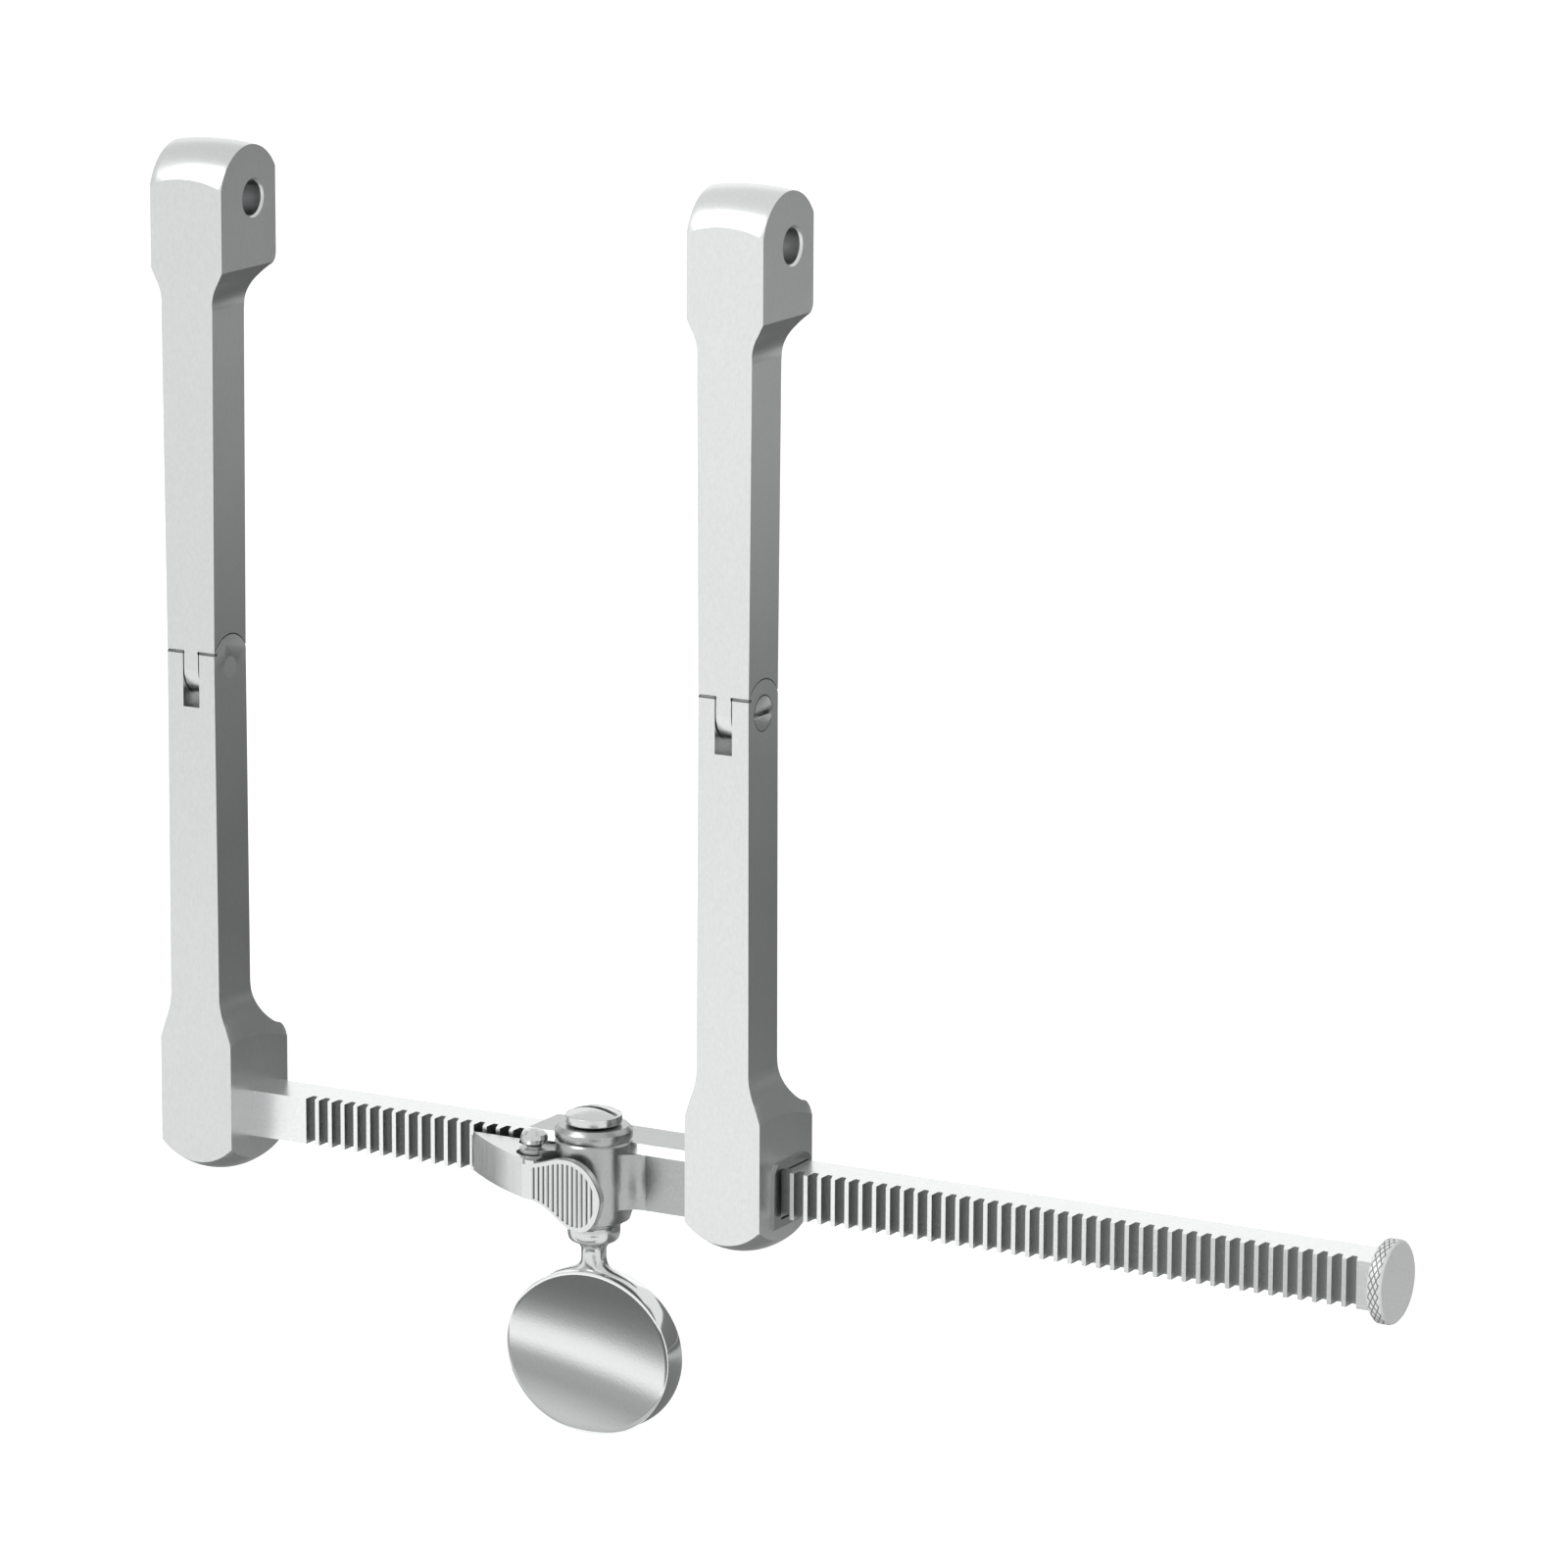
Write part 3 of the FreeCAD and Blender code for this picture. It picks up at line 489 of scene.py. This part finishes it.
def ringPiece(name, steps, rings, facing):
    first = rings[0]
    deselectAll()
    bpy.ops.mesh.primitive_circle_add(vertices=steps, radius=1, fill_type="NGON", location=(0, 0, 0))
    piece = bpy.context.object
    piece.name = name
    piece.data.name = name
    bpy.ops.object.mode_set(mode="EDIT")
    bpy.ops.mesh.select_all(action="SELECT")
    bpy.ops.transform.resize(value=(first[0], first[1], 1), center_override=(0, 0, 0))
    bpy.ops.transform.translate(value=(0, 0, first[2]))
    for before, after in zip(rings, rings[1:]):
        bpy.ops.mesh.extrude_region_move(TRANSFORM_OT_translate={"value": (0, 0, after[2] - before[2])})
        grow = (after[0] / before[0], after[1] / before[1], 1)
        bpy.ops.transform.resize(value=grow, center_override=(0, 0, 0))
    bpy.ops.mesh.select_all(action="SELECT")
    bpy.ops.mesh.normals_make_consistent(inside=False)
    bpy.ops.object.mode_set(mode="OBJECT")
    turn = Vector(facing).to_track_quat("Z", "Y").to_matrix().to_4x4()
    piece.data.transform(turn)
    return piece


def finishPiece(piece, spot, body, material, angle):
    piece.data.transform(Matrix.Translation(spot))
    piece.data.materials.clear()
    piece.data.materials.append(material)
    onlyIn(piece)
    bpy.ops.object.shade_smooth_by_angle(angle=math.radians(angle))
    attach(piece, body)


# thumb key: dished oval paddle, collar, and neck that spreads into the paddle; each ring of collar
# and neck has its growth past the collar's or the neck's radius, and its drop from the top
keyLook = {
    "axis": (-0.02365, -0.001525),
    "halfWide": 0.0123,
    "halfHigh": 0.011,
    "middle": 0.011,
    "thick": 0.0038,
    "dish": 0.0008,
    "edge": 0.00022,
    "shares": (0.03, 0.15, 0.3, 0.45, 0.6, 0.72, 0.82, 0.9, 0.95, 0.975),
    "rimTurn": (0.35, 1.4),
    "rimFlat": 0.3,
    "paddleSteps": 96,
    "paddleSmooth": 50,
    "neckSteps": 48,
    "neckSmooth": 40,
    "collar": 0.00345,
    "neck": 0.00165,
    "top": 0.02825,
    "collarTurn": (
        (-0.0002, 0), (0, 0.00025), (0, 0.0012), (-0.00006, 0.0016), (-0.0002, 0.00195),
        (-0.00042, 0.0022), (-0.0008, 0.0024), (-0.0012, 0.00258), (-0.0015, 0.00285),
    ),
    "neckFlare": (
        (0.00002, 0, 0.0033), (0, 0, 0.0040), (0, 0, 0.0046), (0.0001, -0.00005, 0.0051),
        (0.0003, -0.0001, 0.0055), (0.0007, -0.0002, 0.0059), (0.0013, -0.0003, 0.0062),
        (0.0021, -0.0004, 0.0065), (0.0030, -0.0005, 0.00685), (0.0040, -0.0006, 0.0073),
        (0.0049, -0.0007, 0.0079), (0.0050, -0.0008, 0.0092),
    ),
}


def makeKeyPaddle():
    wide = keyLook["halfWide"]
    high = keyLook["halfHigh"]
    half = keyLook["thick"] / 2
    edge = keyLook["edge"]
    rings = []
    rim = keyLook["shares"][-1]
    for share in keyLook["shares"]:
        depth = keyLook["dish"] * (1 - (share / rim) ** 2)
        rings.append((wide * share, high * share, depth - half))
    inset, rise = keyLook["rimTurn"]
    rings.append((wide - edge * inset, high - edge * inset, edge * inset - half))
    rings.append((wide, high, edge * rise - half))
    rings.append((wide, high, half * keyLook["rimFlat"]))
    for x, y, z in reversed(rings[:-1]):
        rings.append((x, y, -z))
    paddle = ringPiece("keyPaddle", keyLook["paddleSteps"], rings, (0, 1, 0))
    x, y = keyLook["axis"]
    spot = (x, y, keyLook["middle"])
    finishPiece(paddle, spot, "pinion", polishedSteel, keyLook["paddleSmooth"])
    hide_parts("thumb_key")


def makeKeyNeck():
    top = keyLook["top"]
    c = keyLook["collar"]
    n = keyLook["neck"]
    rings = [(c + grow, c + grow, top - drop) for grow, drop in keyLook["collarTurn"]]
    rings += [(n + wide, n + deep, top - drop) for wide, deep, drop in keyLook["neckFlare"]]
    neck = ringPiece("keyNeck", keyLook["neckSteps"], rings, (0, 0, 1))
    x, y = keyLook["axis"]
    finishPiece(neck, (x, y, 0), "pinion", turnedSteel, keyLook["neckSmooth"])


makeKeyPaddle()
makeKeyNeck()
print("thumb key shaped")

# hinge screw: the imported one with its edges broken, a hair proud of the arm's side
screwLook = {
    "proud": 0.000012,
    "edge": 0.0001,
    "merge": 0.000001,
    "flat": 0.5,
    "sharp": 50,
    "segments": 2,
    "smooth": 30,
}


def makeHingeScrew():
    node = nodes["sliding_hinge_screw"]
    screw = bpy.data.objects.new("hingeScrew", node.data.copy())
    screw.data.name = "hingeScrew"
    bpy.context.scene.collection.objects.link(screw)
    onlyIn(screw)
    bpy.ops.object.mode_set(mode="EDIT")
    bpy.ops.mesh.select_all(action="SELECT")
    bpy.ops.mesh.remove_doubles(threshold=screwLook["merge"])
    bpy.ops.mesh.dissolve_limited(angle_limit=math.radians(screwLook["flat"]))
    bpy.ops.object.mode_set(mode="OBJECT")
    low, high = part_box("sliding_hinge_screw")
    middle = (low[0] + high[0]) / 2
    stretch = 1 + 2 * screwLook["proud"] / (high[0] - low[0])
    there = Matrix.Translation((middle, 0, 0))
    screw.data.transform(there @ Matrix.Diagonal((stretch, 1, 1, 1)) @ there.inverted())
    bevel = screw.modifiers.new("brokenEdge", "BEVEL")
    bevel.width = screwLook["edge"]
    bevel.segments = screwLook["segments"]
    bevel.limit_method = "ANGLE"
    bevel.angle_limit = math.radians(screwLook["sharp"])
    bpy.ops.object.modifier_apply(modifier="brokenEdge")
    finishPiece(screw, (0, 0, 0), "slider", screwSteel, screwLook["smooth"])
    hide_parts("sliding_hinge_screw")


makeHingeScrew()
print("hinge screw finished")

# end knob: flat disc with a knurled rim
knobLook = {
    "low": 0.08640,
    "thick": 0.00205,
    "radius": 0.0054,
    "middle": (0.003805, 0.0352),
    "knurlDeep": 0.00010,
    "knurlStart": 0.00035,
    "edge": 0.0003,
    "shoulder": (0.00005, 0.0002),
    "hub": 0.0004,
    "dish": (0.0007, 0.00008),
    "steps": 48,
    "rows": 5,
    "smooth": 35,
}


def makeKnob():
    r = knobLook["radius"]
    deep = knobLook["knurlDeep"]
    t = knobLook["thick"]
    low = r - deep
    rows = knobLook["rows"]
    first = knobLook["knurlStart"]
    rowStep = (t - 2 * first) / (rows - 1)
    hub = knobLook["hub"]
    flat = low - knobLook["edge"]
    shoulder = low - knobLook["shoulder"][0]
    shoulderDeep = knobLook["shoulder"][1]
    dishAt, dishDeep = knobLook["dish"]
    rings = [(hub, hub, 0), (flat, flat, 0), (shoulder, shoulder, shoulderDeep)]
    for i in range(rows):
        rings.append((low, low, first + rowStep * i))
    rings += [(shoulder, shoulder, t - shoulderDeep), (flat, flat, t)]
    rings += [(low - dishAt, low - dishAt, t), (hub, hub, t - dishDeep)]
    knob = ringPiece("knurledKnob", knobLook["steps"], rings, (1, 0, 0))
    onlyIn(knob)
    bpy.ops.object.mode_set(mode="EDIT")
    bpy.ops.mesh.select_all(action="DESELECT")
    bpy.ops.object.mode_set(mode="OBJECT")
    turn = 2 * math.pi / knobLook["steps"]
    # every second point of the rim stands out, in turn from row to row
    for v in knob.data.vertices:
        row = (v.co.x - first) / rowStep
        around = round(math.atan2(v.co.z, v.co.y) / turn)
        onRim = math.hypot(v.co.y, v.co.z) > low - 0.00002 and -0.2 < row < rows - 0.8
        v.select = onRim and (round(row) + around) % 2 == 0
    bpy.ops.object.mode_set(mode="EDIT")
    bpy.ops.transform.shrink_fatten(value=deep)
    bpy.ops.object.mode_set(mode="OBJECT")
    y, z = knobLook["middle"]
    spot = (knobLook["low"], y, z)
    finishPiece(knob, spot, "knob", knobSteel, knobLook["smooth"])
    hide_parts("end_knob")


makeKnob()
print("end knob knurled")

# broken edges on the CAD pieces, widths in millimetres, kept narrower where the facets are small
edgeLook = {
    "fixed_arm_upper": 0.5,
    "sliding_arm_upper": 0.5,
    "fixed_arm_lower": 0.5,
    "sliding_arm_lower": 0.5,
    "rack_sleeve": 0.2,
    "pawl_lever": 0.15,
    "cap_screw": 0.15,
}
softenLook = {
    "merge": 0.000002,
    "flat": 0.3,
    "sharp": 38,
    "segments": 3,
}


def softenEdges(node, width):
    weld = node.modifiers.new("joinFacets", "WELD")
    weld.merge_threshold = softenLook["merge"]
    plain = node.modifiers.new("plainFaces", "DECIMATE")
    plain.decimate_type = "DISSOLVE"
    plain.angle_limit = math.radians(softenLook["flat"])
    bevel = node.modifiers.new("brokenEdge", "BEVEL")
    bevel.width = width / 1000
    bevel.segments = softenLook["segments"]
    bevel.limit_method = "ANGLE"
    bevel.angle_limit = math.radians(softenLook["sharp"])


for name, width in edgeLook.items():
    softenEdges(nodes[name], width)
print("edges softened")

bpy.context.scene.view_settings.view_transform = "Standard"
